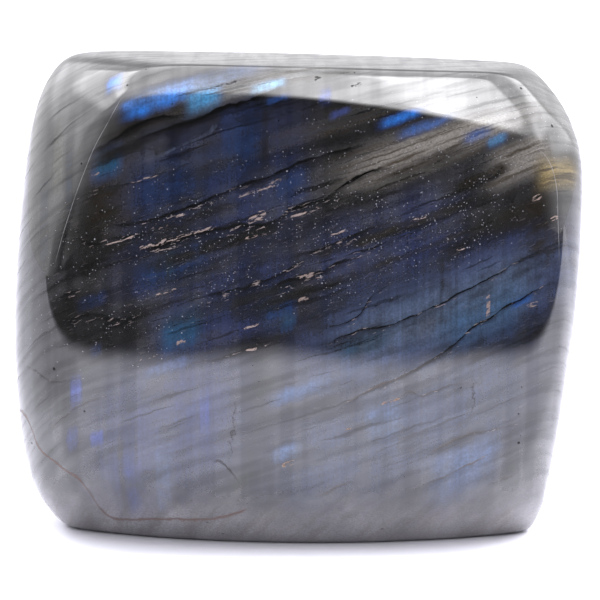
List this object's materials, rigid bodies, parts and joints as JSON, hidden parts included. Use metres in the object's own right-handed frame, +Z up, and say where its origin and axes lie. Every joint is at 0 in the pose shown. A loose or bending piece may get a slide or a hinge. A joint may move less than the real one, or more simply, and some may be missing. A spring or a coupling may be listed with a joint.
{
  "type": "polished labradorite freeform",
  "caption": "Upright block of polished labradorite with rounded edges, a ground bevel along its top front edge and a flat to stand on.",
  "frame": {"origin": "on the resting flat, below the middle of the stone's length and thickness", "axes": "+X along the longest side, the large show face looks along -Y, +Z up from the resting flat"},
  "size_m": [0.112, 0.0566, 0.0963],
  "materials": {
    "polished_labradorite": "polished"
  },
  "bodies": {
    "root": {"labradorite_stone": "polished_labradorite"}
  },
  "joints": []
}
